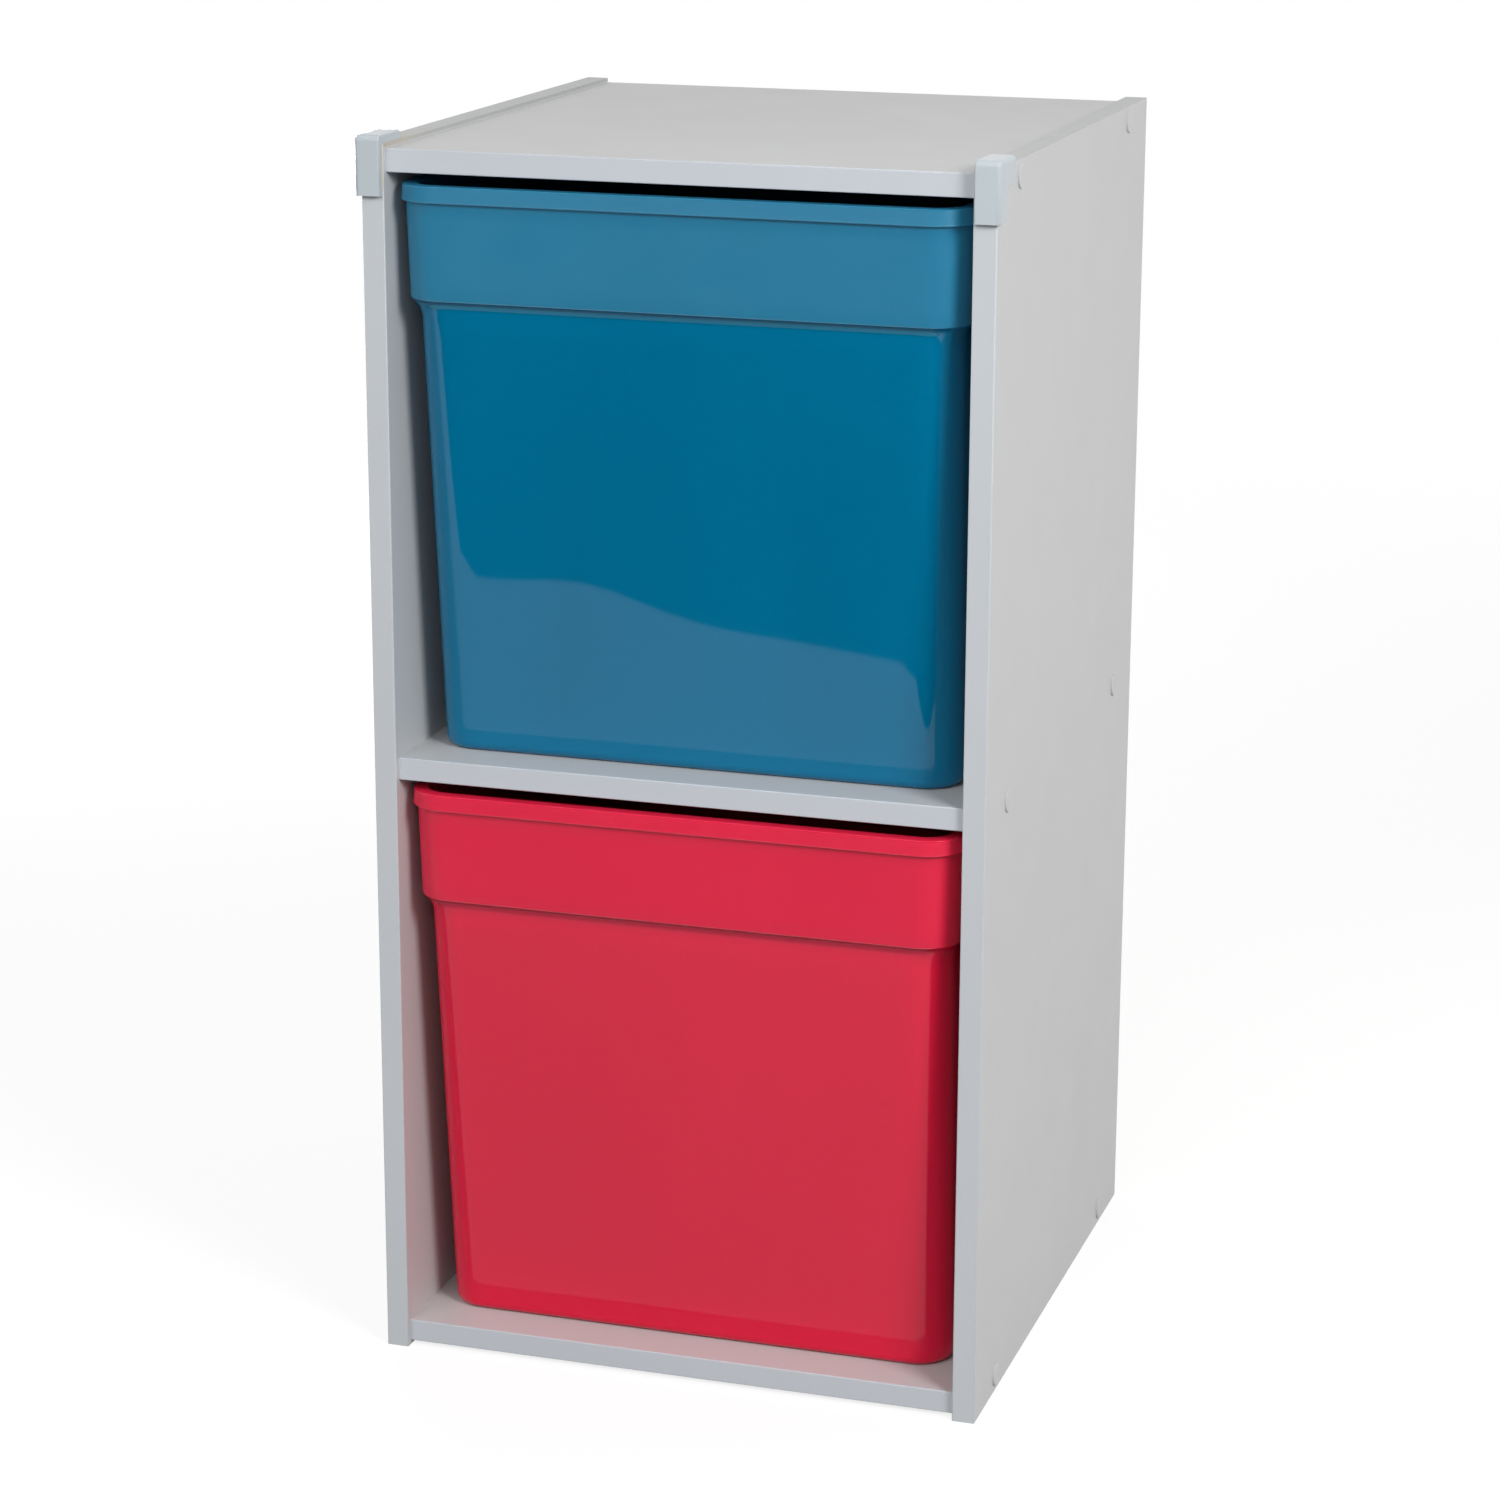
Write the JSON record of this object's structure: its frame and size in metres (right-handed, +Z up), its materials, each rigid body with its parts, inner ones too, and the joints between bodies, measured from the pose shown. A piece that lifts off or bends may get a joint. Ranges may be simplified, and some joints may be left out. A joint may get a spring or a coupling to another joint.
{
  "type": "cube shelf unit with pull-out bins",
  "caption": "Upright open-front cube shelf unit of laminated board with a pull-out moulded bin in each cube, corner guards on the front and covered screws in the sides.",
  "frame": {"origin": "on the floor, under the middle of the unit's overall width and depth", "axes": "+Z up, +X to the right when facing the open front, the front faces -Y"},
  "size_m": [0.3336, 0.3396, 0.6554],
  "materials": {
    "laminate": "light grey laminated chipboard, satin",
    "edging": "light grey edge band, satin",
    "hardboard": "hardboard with a light grey front face",
    "steel": "zinc plated",
    "cover_plastic": "light grey moulded plastic, satin",
    "beech": "plain beech dowel",
    "guard_plastic": "cool light grey moulded plastic, semi-gloss",
    "blue_plastic": "blue moulded plastic, satin band over a glossy body",
    "red_plastic": "red moulded plastic, satin band over a glossy body"
  },
  "bodies": {
    "carcass": {"left_side_panel": "laminate", "right_side_panel": "laminate", "top_board": "laminate", "middle_shelf": "laminate", "bottom_board": "laminate", "left_panel_edging": "edging", "right_panel_edging": "edging", "top_board_edging": "edging", "middle_shelf_edging": "edging", "bottom_board_edging": "edging", "back_sheet": "hardboard", "left_screws": "steel", "right_screws": "steel", "left_screw_covers": "cover_plastic", "right_screw_covers": "cover_plastic", "left_dowels": "beech", "right_dowels": "beech", "left_corner_guard": "guard_plastic", "right_corner_guard": "guard_plastic"},
    "upper_bin": {"upper_bin": "blue_plastic"},
    "lower_bin": {"lower_bin": "red_plastic"}
  },
  "joints": [
    {"name": "upper_bin_slide", "type": "slide", "parent": "carcass", "child": "upper_bin", "axis": [0, -1, 0], "range_m": [0, 0.335]},
    {"name": "lower_bin_slide", "type": "slide", "parent": "carcass", "child": "lower_bin", "axis": [0, -1, 0], "range_m": [0, 0.335]}
  ]
}
